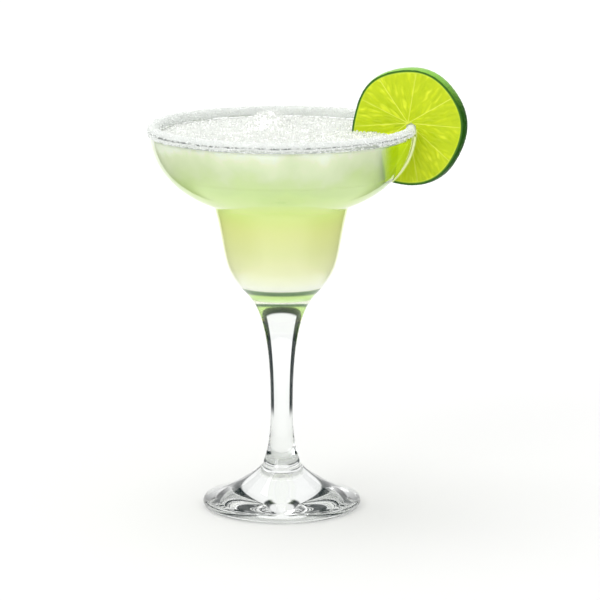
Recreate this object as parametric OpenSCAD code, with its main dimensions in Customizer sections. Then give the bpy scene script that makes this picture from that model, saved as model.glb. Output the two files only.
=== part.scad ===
// Margarita in its stemmed glass: a wide bowl over a small cup, a salted lip,
// crushed ice heaped over the drink, and a slit lime wheel hung on the lip.
// Millimetres, +Z up, origin at the centre of the foot, on the table.

/* [Glass] */
// Height of the glass from the table to the lip
glass_h = 167; // [150:0.5:200]
// Outside diameter of the lip
rim_d = 113; // [94:0.5:136]
// Depth of the wide bowl, from the lip to the waist outside
bowl_depth = 34.4; // [28:0.1:42]
// Slope of the bowl's floor where it meets the waist, in degrees
bowl_slope = 18; // [8:1:28]
// Fullness of the bowl's curve, as a share of its width and depth
bowl_full = 0.54; // [0.45:0.01:0.62]
// Wall of the bowl, and the width of its rounded lip
bowl_wall = 2.2; // [1.8:0.1:2.8]
// Outside diameter of the waist, where the bowl meets the cup
waist_d = 58; // [48:0.1:68]
// Reach of the rounding inside the waist
waist_round = 4; // [3:0.1:5]
// Extra glass on the inside of the waist
waist_swell = 0.7; // [0.3:0.1:1.2]
// Depth of the cup, from the waist to the neck outside
cup_depth = 38.3; // [32:0.1:46]
// Lean of the cup's side at the waist, in degrees from upright
cup_lean = 15; // [6:1:18]
// Wall of the cup at its side
cup_wall = 2.4; // [2:0.1:3]
// Height of the cup's floor inside, above the neck
floor_lift = 0.4; // [0.2:0.1:1]
// Height of the rounding between the cup's side and floor inside
floor_round = 4.5; // [3.5:0.1:6]

/* [Stem and foot] */
// Diameter of the neck, where the cup runs into the stem
neck_d = 30.5; // [25:0.1:36]
// Slope of the neck, in degrees
neck_slope = 45; // [35:1:55]
// Diameter of the stem at its slimmest
stem_d = 9.6; // [8:0.1:11.6]
// Height of the slimmest place above the collar
slim_h = 24; // [20:0.5:29]
// Diameter of the collar, where the stem meets the foot
collar_d = 17.2; // [15:0.1:22]
// Height of the collar above the table
collar_h = 18; // [15:0.1:22]
// Diameter of the foot
foot_d = 68.6; // [58:0.2:84]
// Thickness of the foot at its rounded edge
foot_edge = 3.8; // [3:0.1:4.6]
// Width of the flat ring that the foot stands on
ring_w = 5; // [3:0.1:6]
// Depth of the shallow hollow under the foot
hollow_h = 0.6; // [0.4:0.1:1.2]

/* [Drink and ice] */
// Drop from the lip to the ice, at the wall
ice_drop = 4; // [3.2:0.1:5]
// Depth of the crushed ice at the wall
ice_depth = 16; // [12:0.5:19]
// Height of the mound above the ice at the wall
mound_h = 6.9; // [5.6:0.1:8.4]
// Spread of the mound
mound_w = 9.2; // [6:0.1:9.5]
// Place of the mound, to the right of the middle
mound_x = -6.5; // [-9:0.5:9]
// Place of the mound, behind the middle
mound_y = 13; // [-16:0.5:18]
// Swell of the whole ice surface towards the middle
ice_swell = 1.2; // [0.5:0.1:2]
// Height of the ripples in the ice
ice_ripple = 0.3; // [0:0.05:0.6]

/* [Salt] */
// Mean depth of the salt band outside the lip
salt_skirt = 3.6; // [3:0.1:4.4]
// How much deeper the band is on its deepest side, as a share
salt_slant = 0.22; // [0:0.01:0.3]
// Direction of that side, in degrees from the right towards the back
salt_side = 143; // [90:1:270]
// Mean thickness of the salt crust
salt_t = 1.15; // [0.9:0.05:1.4]
// How far the crust's edges and thickness wander, as a share
salt_wander = 0.24; // [0:0.01:0.3]

/* [Lime wheel] */
// Diameter of the lime at its widest
lime_d = 51; // [42:0.2:62]
// Thickness of the wheel
lime_t = 6.1; // [5:0.1:7.4]
// Distance of the wheel's front cut from the widest place of the fruit
lime_cut = 4.7; // [3.5:0.1:6]
// Turn of the wheel away from square to the lip, in degrees
lime_turn = 19; // [10:1:25]
// Height of the wheel's centre above the lip
lime_lift = -0.7; // [-2:0.1:1.5]
// Shift of the wheel's centre from the lip towards the middle of the glass
lime_in = 1; // [-1:0.1:2.5]
// Point of the slit above the salt
slit_point = 1.6; // [0.8:0.1:2.4]

/* [Clearances] */
// Gap between the slit and the glass or its salt
slit_gap = 0.25; // [0.2:0.05:0.4]
// Gap between the ice or salt and the wall that they lie on
lay_gap = 0.04; // [0.03:0.01:0.08]
// Gap between the salt's inner edge and the ice
salt_gap = 0.2; // [0.15:0.05:0.3]

/* [Hidden] */
$fn = 96;

// Steps along each curve of the glass
curve_steps = 14;
// Points round the ice, the salt and the lime
ice_points = 72;
salt_points = 96;
lime_points = 72;

rim_r = rim_d / 2;
waist_r = waist_d / 2;
neck_r = neck_d / 2;
stem_r = stem_d / 2;
collar_r = collar_d / 2;
foot_r = foot_d / 2;
lip_r = bowl_wall / 2;
lip_z = glass_h - lip_r;
waist_z = glass_h - bowl_depth;
neck_z = waist_z - cup_depth;
slim_z = collar_h + slim_h;
floor_z = neck_z + floor_lift;
ice_z = glass_h - ice_drop;
drink_z = ice_z - ice_depth;

// ---- Curves ----

// Point of a cubic curve p at t from 0 to 1
function bezier(p, t) =
    pow(1 - t, 3) * p[0] + 3 * pow(1 - t, 2) * t * p[1]
    + 3 * (1 - t) * t * t * p[2] + pow(t, 3) * p[3];

// Direction of travel of a cubic curve p at t
function travel(p, t) =
    let (d = pow(1 - t, 2) * (p[1] - p[0]) + 2 * (1 - t) * t * (p[2] - p[1])
             + t * t * (p[3] - p[2]))
    d / norm(d);

// Evenly stepped points of a curve, from step a to step b
function walk(p, n, a, b) = [for (i = [a:b]) bezier(p, i / n)];

// The same points moved inwards, to the right of the direction of travel
function walk_inside(p, n, wall) =
    [for (i = [0:n]) let (d = travel(p, i / n)) bezier(p, i / n) + wall * [d.y, -d.x]];

function reverse(list) = [for (i = [len(list) - 1:-1:0]) list[i]];

// Radius of a wall, given as a list of [radius, height] points, at height z
function radius_at(wall, z) = lookup(z, [for (p = wall) [p.y, p.x]]);

// ---- Outline of the glass, each curve running from the top down ----

// Bowl: upright at the lip, nearly level at the waist
bowl_curve = [
    [rim_r, lip_z],
    [rim_r, lip_z - bowl_full * (lip_z - waist_z)],
    [waist_r, waist_z] + bowl_full * (rim_r - waist_r) * [cos(bowl_slope), sin(bowl_slope)],
    [waist_r, waist_z]
];

// Cup: leaning in a little at the waist, then turning in to the neck
cup_curve = [
    [waist_r, waist_z],
    [waist_r, waist_z] - 0.57 * cup_depth * [sin(cup_lean), cos(cup_lean)],
    [neck_r, neck_z] + 0.42 * cup_depth * [cos(neck_slope), sin(neck_slope)],
    [neck_r, neck_z]
];

// Stem above its slimmest place, and below it
upper_stem = [
    [neck_r, neck_z],
    [neck_r, neck_z] - 0.83 * neck_r * [cos(neck_slope), sin(neck_slope)],
    [stem_r, slim_z + 0.43 * (neck_z - slim_z)],
    [stem_r, slim_z]
];
lower_stem = [
    [stem_r, slim_z],
    [stem_r, slim_z - 0.5 * slim_h],
    [collar_r - 0.55 * (collar_r - stem_r), collar_h + 0.2 * slim_h],
    [collar_r, collar_h]
];

// Point of the foot's rounded edge at an angle above level
edge_reach = 0.37 * foot_edge;
edge_top = 66;
function edge_point(a) =
    [foot_r - edge_reach, foot_edge / 2] + [edge_reach * cos(a), foot_edge / 2 * sin(a)];

// Foot: falling steeply from the collar and flattening towards the edge
foot_top = [
    [collar_r, collar_h],
    [collar_r + 0.135 * (foot_r - collar_r), collar_h - 0.37 * (collar_h - foot_edge)],
    [foot_r - 0.26 * (foot_r - collar_r), foot_edge + 0.09 * (collar_h - foot_edge)],
    edge_point(edge_top)
];

// Foot's edge, from where the top runs into it down to the table
edge_steps = 7;
foot_round = [for (i = [1:edge_steps]) edge_point(edge_top - (edge_top + 90) * i / edge_steps)];

// Hollow under the foot: a shallow dome inside the flat ring
ring_in = foot_r - edge_reach - ring_w;
hollow_steps = 6;
hollow = [for (i = [0:hollow_steps])
    let (a = 90 * i / hollow_steps)
    [ring_in * cos(a), hollow_h * (1 - cos(a)) * (1 + cos(a))]];

outer_bowl = walk(bowl_curve, curve_steps, 0, curve_steps);
outer_cup = walk(cup_curve, curve_steps, 1, curve_steps);
outer_stem = concat(
    walk(upper_stem, curve_steps, 1, curve_steps),
    walk(lower_stem, 8, 1, 8)
);
outer_foot = concat(walk(foot_top, 8, 1, 8), foot_round);

// ---- Inside of the glass, from the lip to the cup's floor ----

lip_steps = 6;
lip = [for (i = [1:lip_steps - 1])
    let (a = 180 * i / lip_steps)
    [rim_r - lip_r, lip_z] + lip_r * [cos(a), sin(a)]];

// Corner where the inner bowl and the inner cup would meet, and the rounding over it
bowl_way = [cos(bowl_slope), sin(bowl_slope)];
cup_way = [sin(cup_lean), cos(cup_lean)];
wall_shift = bowl_wall * [-bowl_way.y, bowl_way.x] - cup_wall * [-cup_way.y, cup_way.x];
waist_corner = [waist_r, waist_z + waist_swell] + cup_wall * [-cup_way.y, cup_way.x]
    + cross(bowl_way, wall_shift) / cross(bowl_way, cup_way) * cup_way;
bowl_end = waist_corner + waist_round * bowl_way;
cup_start = waist_corner - waist_round * cup_way;
waist_curve = [
    bowl_end,
    bowl_end + 0.6 * (waist_corner - bowl_end),
    cup_start + 0.6 * (waist_corner - cup_start),
    cup_start
];
waist_steps = 5;

inner_bowl = [for (p = walk_inside(bowl_curve, curve_steps, bowl_wall))
    if (p.x > bowl_end.x + 0.8) p];
inner_cup = [for (p = walk_inside(cup_curve, curve_steps, cup_wall))
    if (p.y < cup_start.y - 0.8 && p.y > floor_z + floor_round) p];

// Rounding between the cup's side and its floor
cup_end = inner_cup[len(inner_cup) - 1];
floor_corner = cup_end - (cup_end.y - floor_z) * [1 / tan(neck_slope + 4), 1];
floor_curve = [
    cup_end,
    cup_end + 0.62 * (floor_corner - cup_end),
    [0.72 * floor_corner.x, floor_z],
    [0, floor_z]
];
floor_steps = 8;
inner_wall = concat(
    inner_bowl,
    walk(waist_curve, waist_steps, 0, waist_steps),
    inner_cup,
    walk(floor_curve, floor_steps, 1, floor_steps)
);

// ---- Faceted skins ----

// Outward triangles between rings of n points, stacked from the bottom up
function band_faces(rings, n) = [
    for (k = [0:rings - 2], i = [0:n - 1])
        let (a = k * n + i, b = k * n + (i + 1) % n)
        each [[a, a + n, b + n], [a, b + n, b]]
];

// Solid through stacked rings of points, closed by a fan to a point at each end
module stacked_rings(rings, bottom, top) {
    n = len(rings[0]);
    count = len(rings);
    points = concat([for (ring = rings) each ring], [bottom, top]);
    last = (count - 1) * n;
    faces = concat(
        band_faces(count, n),
        [for (i = [0:n - 1]) [i, (i + 1) % n, count * n]],
        [for (i = [0:n - 1]) [last + (i + 1) % n, last + i, count * n + 1]]
    );
    polyhedron(points, faces);
}

// Closed ring through cross-sections that follow one another round the axis
module ring_of_sections(sections) {
    n = len(sections[0]);
    count = len(sections);
    faces = [for (k = [0:count - 1], i = [0:n - 1])
        let (a = k * n + i, b = k * n + (i + 1) % n,
             c = ((k + 1) % count) * n + i, d = ((k + 1) % count) * n + (i + 1) % n)
        each [[a, c, d], [a, d, b]]];
    polyhedron([for (s = sections) each s], faces);
}

// Smooth uneven wave round the axis, between -1 and 1
function wave(angle, shift) =
    (sin(5 * angle + shift) + sin(8 * angle + 2.3 * shift) + sin(13 * angle - shift)
     + sin(21 * angle + 1.7 * shift)) / 4;

// ---- Drink and ice ----

// Height of the ice above its level at the wall
function ice_rise(x, y) =
    let (share = norm([x, y]) / radius_at(inner_wall, ice_z),
         fade = max(0, 1 - pow(share, 4)),
         away = norm([(x - mound_x) * (x < mound_x ? 1.15 : 0.9), y - mound_y]))
    fade * (mound_h * exp(-pow(away / mound_w, 3))
            + ice_swell * (1 - share * share)
            + ice_ripple * (sin(29 * x + 11 * y + 60 * sin(13 * y)) + cos(24 * y - 17 * x + 50 * sin(15 * x))
                            + 0.7 * sin(38 * x - 33 * y)));

// Ring of points on the inside of the bowl at height z
function wall_ring(z) = [for (i = [0:ice_points - 1])
    let (a = 360 * i / ice_points, r = radius_at(inner_wall, z) - lay_gap)
    [r * cos(a), r * sin(a), z]];

// Ring of points on top of the ice, at a share of its radius
function top_ring(share) = [for (i = [0:ice_points - 1])
    let (a = 360 * i / ice_points, r = share * (radius_at(inner_wall, ice_z) - lay_gap),
         x = r * cos(a), y = r * sin(a))
    [x, y, ice_z + ice_rise(x, y)]];

ice_wall_steps = 4;
ice_top_steps = 12;

// Cavity of the glass up to height z, to its very wall
module filled_to(z) {
    rotate_extrude()
        polygon(concat(
            [[0, z], [radius_at(inner_wall, z), z]],
            [for (p = inner_wall) if (p.y < z - 0.01) p]
        ));
}

module drink() {
    color([0.86, 0.93, 0.6])
    difference() {
        filled_to(drink_z);
        lime_disc(lay_gap);
    }
}

module crushed_ice() {
    color([0.94, 0.96, 0.92])
    difference() {
        stacked_rings(
            concat(
                [for (k = [0:ice_wall_steps]) wall_ring(drink_z + ice_depth * k / ice_wall_steps)],
                [for (k = [1:ice_top_steps - 1]) top_ring(1 - k / ice_top_steps)]
            ),
            [0, 0, drink_z],
            [0, 0, ice_z + ice_rise(0, 0)]
        );
        lime_disc(lay_gap);
    }
}

// ---- Glass ----

module glass() {
    color([0.86, 0.92, 0.9, 0.35])
    rotate_extrude()
        polygon(concat(
            reverse(hollow),
            reverse(outer_foot),
            reverse(outer_stem),
            reverse(outer_cup),
            reverse(outer_bowl),
            lip,
            inner_wall
        ));
}

// ---- Salt ----

salt_most = salt_t * (1 + salt_wander);
salt_inner = ice_drop - salt_gap;

// Cross-section of the crust at an angle: down the outside of the lip, over it and back
function salt_section(angle) =
    let (t = salt_t * (1 + salt_wander * wave(angle, 40)),
         drop = salt_skirt
                * (1 + salt_wander * wave(angle, 150) + salt_slant * cos(angle - salt_side)),
         inner = salt_inner * (1 - salt_wander * (0.5 + 0.5 * wave(angle, 260))),
         top = 0.75 * salt_t * (1 + salt_wander * wave(angle, 75)),
         out_z = (lip_z + glass_h - drop) / 2,
         in_z = (lip_z + glass_h - inner) / 2,
         out_low = radius_at(outer_bowl, glass_h - drop) + lay_gap,
         out_mid = radius_at(outer_bowl, out_z) + lay_gap,
         in_low = radius_at(inner_wall, glass_h - inner) - lay_gap,
         in_mid = radius_at(inner_wall, in_z) - lay_gap,
         profile = [
             [out_low, glass_h - drop],
             [out_low + 0.55 * t, glass_h - drop + 0.1 * t],
             [out_mid + t, out_z],
             [rim_r + 0.85 * t, glass_h + 0.1 * top],
             [rim_r - 0.3 * lip_r, glass_h + 0.9 * top],
             [rim_r - lip_r, glass_h + top],
             [rim_r - 1.7 * lip_r, glass_h + 0.9 * top],
             [rim_r - bowl_wall - 0.75 * t, glass_h + 0.1 * top],
             [in_mid - 0.8 * t, in_z],
             [in_low - 0.45 * t, glass_h - inner + 0.1 * t],
             [in_low, glass_h - inner],
             [in_mid, in_z],
             [rim_r - bowl_wall - lay_gap, lip_z],
             [rim_r - lip_r - 0.5 * bowl_wall - lay_gap, glass_h + lay_gap],
             [rim_r + lay_gap, glass_h + lay_gap],
             [rim_r + lay_gap, lip_z],
             [out_mid, out_z]
         ])
    [for (p = profile) [p.x * cos(angle), p.x * sin(angle), p.y]];

module salt_rim() {
    color([0.95, 0.96, 0.96])
    ring_of_sections([for (i = [0:salt_points - 1]) salt_section(360 * i / salt_points)]);
}

// ---- Lime wheel ----

// Unevenness of the fruit's outline: order, share of the radius and phase of each wave
lime_waves = [[2, 0.018, 106], [3, 0.008, -78], [4, 0.014, 126], [5, 0.011, -16], [6, 0.005, 63]];
function lime_outline(angle, i = 0) =
    i == len(lime_waves) ? 1
    : let (w = lime_waves[i]) lime_outline(angle, i + 1) + w[1] * cos(w[0] * angle - w[2]);

// Radius of the fruit at a distance behind the front cut
function lime_r(depth) = sqrt(pow(lime_d / 2, 2) - pow(lime_cut - depth, 2));

// Whole wheel at its place on the lip, before the slit, grown by a gap all round
module lime_disc(grow = 0) {
    steps = 4;
    translate([rim_r - lip_r - lime_in, 0, glass_h + lime_lift])
        rotate([0, 0, -lime_turn])
        rotate([90, 0, 0])
        stacked_rings(
            [for (k = [0:steps])
                let (depth = lime_t * (1 - k / steps), z = lime_t / 2 - depth + grow * (2 * k / steps - 1))
                [for (i = [0:lime_points - 1])
                    let (a = 360 * i / lime_points, r = lime_outline(a) * lime_r(depth) + grow)
                    [r * cos(a), r * sin(a), z]]],
            [0, 0, -lime_t / 2 - grow],
            [0, 0, lime_t / 2 + grow]
        );
}

// Room that the wall of the bowl and its salt take in the slit
module slit_room() {
    side = concat([[rim_r, glass_h]], outer_bowl);
    out_r = rim_r + salt_most + slit_gap;
    in_r = rim_r - bowl_wall - salt_most - slit_gap;
    low = glass_h - salt_skirt * (1 + salt_wander) - slit_gap;
    inner_low = glass_h - salt_inner - slit_gap;
    point = glass_h + salt_most + slit_point;
    rotate_extrude()
        polygon(concat(
            [[in_r, glass_h + 0.4 * salt_t], [rim_r - lip_r, point], [out_r, glass_h + 0.4 * salt_t]],
            [[out_r, low], [radius_at(side, low) + slit_gap, low]],
            [for (p = outer_bowl) if (p.y < low - 0.1) p + [slit_gap, -slit_gap / 2]],
            [[waist_r, waist_z - bowl_wall], [waist_r, waist_z + bowl_wall]],
            [for (p = reverse(inner_bowl)) if (p.y < inner_low - 0.1) p + [-slit_gap, slit_gap / 2]],
            [[radius_at(inner_wall, inner_low) - slit_gap, inner_low], [in_r, inner_low]]
        ));
}

module lime_wheel() {
    color([0.72, 0.84, 0.2])
    difference() {
        lime_disc();
        slit_room();
    }
}

glass();
drink();
crushed_ice();
salt_rim();
lime_wheel();
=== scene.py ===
# %% [markdown]
# # A margarita in its glass
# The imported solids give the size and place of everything: a stemmed glass with a wide bowl over a
# small cup, the drink in it, crushed ice heaped on the drink, a salted lip and a lime wheel slit
# over the lip. Each one is made again here with a finer shape and its own finish. The frame comes
# first, because every piece takes its place from it.

# %% Load the frame
import math

import bmesh
import bpy
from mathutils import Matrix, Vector, noise


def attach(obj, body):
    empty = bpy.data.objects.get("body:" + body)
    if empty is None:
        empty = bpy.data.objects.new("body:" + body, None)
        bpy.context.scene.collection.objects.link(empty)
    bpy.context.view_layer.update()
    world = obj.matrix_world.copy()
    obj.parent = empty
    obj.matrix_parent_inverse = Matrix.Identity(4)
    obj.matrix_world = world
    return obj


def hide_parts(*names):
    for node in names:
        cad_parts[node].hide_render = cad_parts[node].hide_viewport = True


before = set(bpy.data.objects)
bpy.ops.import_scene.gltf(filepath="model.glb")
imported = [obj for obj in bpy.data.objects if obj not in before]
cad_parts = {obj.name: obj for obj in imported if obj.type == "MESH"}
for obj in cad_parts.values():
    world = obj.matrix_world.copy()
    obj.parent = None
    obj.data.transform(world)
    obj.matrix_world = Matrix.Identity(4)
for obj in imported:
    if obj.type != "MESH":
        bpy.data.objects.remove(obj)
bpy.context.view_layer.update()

MM = 0.001
print("solids:", sorted(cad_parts))

# %% [markdown]
# ## Camera and studio
# The picture is taken from a little above the table with a long lens, so the lip is a narrow
# ellipse and the sides hardly converge. Clear glass shows only what it bends towards the eye. On
# white it gets its drawing from dark things beside it: tall black cards left and right, and a dark
# band of ceiling, all just outside the view. Here they are seen only by rays that glass has bent or
# mirrored, and everything else sees white walls, so that they take no light from the drink. Rays
# that were mirrored inside the foot see a band of ceiling of their own, higher and open in the
# middle, which keeps the foot bright.

# %% Camera
camera = bpy.data.objects.new("camera", bpy.data.cameras.new("camera"))
bpy.context.scene.collection.objects.link(camera)
bpy.context.scene.camera = camera
camera.data.lens = 203.9
camera.data.sensor_width = 36.0
camera.data.clip_end = 30.0
camera.location = (7.93 * MM, -1440.0 * MM, 377.4 * MM)
camera.rotation_euler = (math.radians(90 - 11.255), 0, 0)

# %% Helpers for node trees
def wire(tree, operation, a, b=None):
    """Output of a maths node fed with sockets or numbers."""
    node = tree.nodes.new("ShaderNodeMath")
    node.operation = operation
    for slot, value in enumerate((a, b)):
        if isinstance(value, (int, float)):
            node.inputs[slot].default_value = value
        elif value is not None:
            tree.links.new(value, node.inputs[slot])
    return node.outputs[0]


def times(tree, a, b):
    return wire(tree, "MULTIPLY", a, b)


def rest_of(tree, share):
    return wire(tree, "SUBTRACT", 1.0, share)


def step_up(tree, value, low, high):
    """0 below low, 1 above high and a soft step between them."""
    node = tree.nodes.new("ShaderNodeMapRange")
    node.interpolation_type = "SMOOTHSTEP"
    node.inputs["From Min"].default_value = low
    node.inputs["From Max"].default_value = high
    tree.links.new(value, node.inputs["Value"])
    return node.outputs["Result"]


def mixed(tree, factor, a, b):
    """Colour between a and b, each a socket or three linear values."""
    node = tree.nodes.new("ShaderNodeMix")
    node.data_type = "RGBA"
    tree.links.new(factor, node.inputs["Factor"])
    for socket, value in (("A", a), ("B", b)):
        if isinstance(value, tuple):
            node.inputs[socket].default_value = (*value, 1)
        else:
            tree.links.new(value, node.inputs[socket])
    return node.outputs["Result"]


def axes(tree, vector):
    node = tree.nodes.new("ShaderNodeSeparateXYZ")
    tree.links.new(vector, node.inputs[0])
    return node.outputs["X"], node.outputs["Y"], node.outputs["Z"]


# %% White walls, dark cards and ceiling
SOFT_LIGHT, WALL_LIGHT, CARD_LIGHT = (1.05, 1.05, 1.05), (1.0, 1.0, 1.0), (0.004, 0.014, 0.015)
CARD_FROM, CARD_TO, CARD_BLUR, CARD_FADE = [math.radians(a) for a in (31, 100, 3, 55)]
CARD_TOP, MIRROR_GAP = (22, 30), (8, 14)
CEILING, MIRRORED_CEILING, BAND_BLUR, WINDOW_SHARE = (15, 62), (26, 42), 4, 0.9

scene = bpy.context.scene
scene.view_settings.view_transform = "Standard"
scene.view_settings.look = "None"
scene.cycles.max_bounces = 32
scene.cycles.transmission_bounces = 24
scene.cycles.glossy_bounces = 12
scene.cycles.diffuse_bounces = 6
scene.cycles.transparent_max_bounces = 24


def side_angle(tree, east, north):
    """Angle from straight behind the glass, the same to the left and to the right."""
    return wire(tree, "ARCTAN2", wire(tree, "ABSOLUTE", east), north)


def card_share(tree, east, north):
    """1 where a direction or place lies behind one of the two dark cards, 0 elsewhere."""
    angle = side_angle(tree, east, north)
    rise = step_up(tree, angle, CARD_FROM, CARD_FROM + CARD_BLUR)
    fall = step_up(tree, angle, CARD_TO, CARD_TO + CARD_FADE)
    return wire(tree, "SUBTRACT", rise, fall)


def above(tree, height, low, high):
    """Soft step up between two heights over the table, in degrees."""
    return step_up(tree, height, math.sin(math.radians(low)), math.sin(math.radians(high)))


def band(tree, height, low, high):
    """1 where a direction lies between two heights, in degrees, and nearly 0 elsewhere."""
    over = times(tree, above(tree, height, high, high + BAND_BLUR), WINDOW_SHARE)
    return wire(tree, "SUBTRACT", above(tree, height, low, low + BAND_BLUR), over)


def bent_ray(tree):
    """1 for rays that only clear glass has bent or mirrored, 0 for direct and soft ones."""
    path = tree.nodes.new("ShaderNodeLightPath")
    bent = wire(tree, "MAXIMUM", path.outputs["Is Transmission Ray"], path.outputs["Is Glossy Ray"])
    return times(tree, bent, wire(tree, "LESS_THAN", path.outputs["Diffuse Depth"], 0.5))


world = bpy.data.worlds.new("studio")
scene.world = world
world.use_nodes = True
room = world.node_tree
room.nodes.clear()
east, north, height = axes(room, room.nodes.new("ShaderNodeTexCoord").outputs["Generated"])
beside = step_up(room, side_angle(room, east, north), *[math.radians(a) for a in MIRROR_GAP])
mirrored_band = times(room, band(room, height, *MIRRORED_CEILING), beside)
path = room.nodes.new("ShaderNodeLightPath")
mirrored = wire(room, "GREATER_THAN", path.outputs["Glossy Depth"], 0.5)
plain_band = times(room, band(room, height, *CEILING), rest_of(room, mirrored))
ceiling = wire(room, "ADD", plain_band, times(room, mirrored_band, mirrored))
over_cards = times(room, above(room, height, *CARD_TOP), WINDOW_SHARE)
cards = times(room, card_share(room, east, north), rest_of(room, over_cards))
seen = mixed(room, wire(room, "MAXIMUM", ceiling, cards), WALL_LIGHT, CARD_LIGHT)
background = room.nodes.new("ShaderNodeBackground")
output = room.nodes.new("ShaderNodeOutputWorld")
room.links.new(mixed(room, bent_ray(room), SOFT_LIGHT, seen), background.inputs["Color"])
room.links.new(background.outputs[0], output.inputs["Surface"])
print("cards from", round(math.degrees(CARD_FROM)), "degrees, ceiling from", CEILING[0], "degrees up")

# %% Table and softboxes
def add_area(name, place, target, size, power):
    light = bpy.data.lights.new(name, "AREA")
    light.shape = "RECTANGLE"
    light.size, light.size_y = size
    light.energy = power
    box = bpy.data.objects.new(name, light)
    scene.collection.objects.link(box)
    box.location = place
    box.rotation_euler = (Vector(target) - Vector(place)).to_track_quat("-Z", "Y").to_euler()


add_area("top_softbox", (-0.25, 0.1, 1.5), (0, 0, 0.12), (0.9, 0.9), 6.0)
add_area("front_softbox", (-0.9, -1.3, 1.0), (0, 0, 0.15), (0.7, 0.9), 5.0)

table_mesh = bpy.data.meshes.new("table")
bm = bmesh.new()
bmesh.ops.create_circle(bm, cap_ends=True, radius=6.0, segments=96)
bm.to_mesh(table_mesh)
bm.free()
table = bpy.data.objects.new("table", table_mesh)
scene.collection.objects.link(table)
table.location.z = -0.0002


def new_finish(name, **values):
    """A material and its shader, whose plain values are given by name."""
    material = bpy.data.materials.new(name)
    material.use_nodes = True
    shader = material.node_tree.nodes["Principled BSDF"]
    for key, value in values.items():
        shader.inputs[key.replace("_", " ")].default_value = (*value, 1) if key.endswith("Color") else value
    return material, shader


NEAR_GLOW, FAR_GLOW, GLOW_FROM, GLOW_TO = 0.215, 0.43, 0.1, 0.8
CARD_FOOT, CARD_FULL = 0.13, 0.2

white, shader = new_finish("white_table", Base_Color=(0.6, 0.6, 0.597), Roughness=0.9,
                           Specular_IOR_Level=0.1, Emission_Color=(1, 1, 1))
tree = white.node_tree
card = tree.nodes.new("ShaderNodeEmission")
card.inputs["Color"].default_value = (*CARD_LIGHT, 1)
on_table = tree.nodes.new("ShaderNodeTexCoord").outputs["Object"]
distance = tree.nodes.new("ShaderNodeVectorMath")
distance.operation = "LENGTH"
tree.links.new(on_table, distance.inputs[0])
far = step_up(tree, distance.outputs["Value"], GLOW_FROM, GLOW_TO)
glow = wire(tree, "ADD", times(tree, far, FAR_GLOW - NEAR_GLOW), NEAR_GLOW)
tree.links.new(glow, shader.inputs["Emission Strength"])
east, north, height = axes(tree, on_table)
beyond = step_up(tree, distance.outputs["Value"], CARD_FOOT, CARD_FULL)
dark = times(tree, beyond, card_share(tree, east, north))
swap = tree.nodes.new("ShaderNodeMixShader")
tree.links.new(times(tree, dark, bent_ray(tree)), swap.inputs["Fac"])
tree.links.new(shader.outputs[0], swap.inputs[1])
tree.links.new(card.outputs[0], swap.inputs[2])
tree.links.new(swap.outputs[0], tree.nodes["Material Output"].inputs["Surface"])
table_mesh.materials.append(white)
print("lens", camera.data.lens, "mm")

# %% [markdown]
# ## Outline of the glass
# A wine glass maker thinks in one outline, turned round its axis. Each stretch of it is a smooth
# curve with four guide points: bowl, cup, upper stem, lower stem and foot. Where two stretches meet
# at a corner, as at the waist under the bowl, a small rounding keeps the highlight thin but soft.

# %% Sizes of the glass, in millimetres
GLASS_H, RIM_R = 167.0, 56.5
BOWL_DEPTH, BOWL_SLOPE, BOWL_FULL, BOWL_WALL = 34.4, math.radians(18), 0.54, 2.2
WAIST_R, WAIST_ROUND, WAIST_SWELL = 29.0, 4.0, 0.7
CUP_DEPTH, CUP_LEAN, CUP_WALL = 38.3, math.radians(15), 2.4
FLOOR_LIFT, FLOOR_ROUND = 0.4, 4.5
NECK_R, NECK_SLOPE = 15.25, math.radians(45)
STEM_R, SLIM_H = 4.8, 24.0
COLLAR_R, COLLAR_H = 8.6, 18.0
FOOT_R, FOOT_EDGE, RING_W, HOLLOW_H = 34.3, 3.8, 5.0, 0.6

LIP_R = BOWL_WALL / 2
LIP_Z = GLASS_H - LIP_R
WAIST_Z = GLASS_H - BOWL_DEPTH
NECK_Z = WAIST_Z - CUP_DEPTH
SLIM_Z = COLLAR_H + SLIM_H
FLOOR_Z = NECK_Z + FLOOR_LIFT
ICE_DROP, ICE_DEPTH = 4.0, 16.0
ICE_Z = GLASS_H - ICE_DROP
DRINK_Z = ICE_Z - ICE_DEPTH


# %% Curves
def along(p, t):
    """Point of a cubic curve with guide points p at t from 0 to 1, and its direction."""
    point = (1 - t) ** 3 * p[0] + 3 * (1 - t) ** 2 * t * p[1] + 3 * (1 - t) * t * t * p[2] + t**3 * p[3]
    way = (1 - t) ** 2 * (p[1] - p[0]) + 2 * (1 - t) * t * (p[2] - p[1]) + t * t * (p[3] - p[2])
    return point, way.normalized()


def walk(p, steps, first=0):
    return [along(p, i / steps)[0] for i in range(first, steps + 1)]


def walk_inside(p, steps, wall):
    points = []
    for i in range(steps + 1):
        point, way = along(p, i / steps)
        points.append(point + wall * Vector((way.y, -way.x)))
    return points


def polar(angle):
    return Vector((math.cos(angle), math.sin(angle)))


def rounded(before, corner, after, reach, steps=5):
    """Points of a small rounding over a corner, from the stretch before to the one after."""
    a = corner + reach * (before - corner).normalized()
    b = corner + reach * (after - corner).normalized()
    shares = [i / steps for i in range(steps + 1)]
    return [(1 - t) ** 2 * a + 2 * (1 - t) * t * corner + t * t * b for t in shares]


# %% Outside of the glass, from the lip down
rim, waist, neck = Vector((RIM_R, LIP_Z)), Vector((WAIST_R, WAIST_Z)), Vector((NECK_R, NECK_Z))
slim, collar = Vector((STEM_R, SLIM_Z)), Vector((COLLAR_R, COLLAR_H))
EDGE_REACH, EDGE_TOP = 0.37 * FOOT_EDGE, math.radians(66)


def edge_point(angle):
    return Vector((FOOT_R - EDGE_REACH + EDGE_REACH * math.cos(angle), FOOT_EDGE / 2 * (1 + math.sin(angle))))


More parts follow.
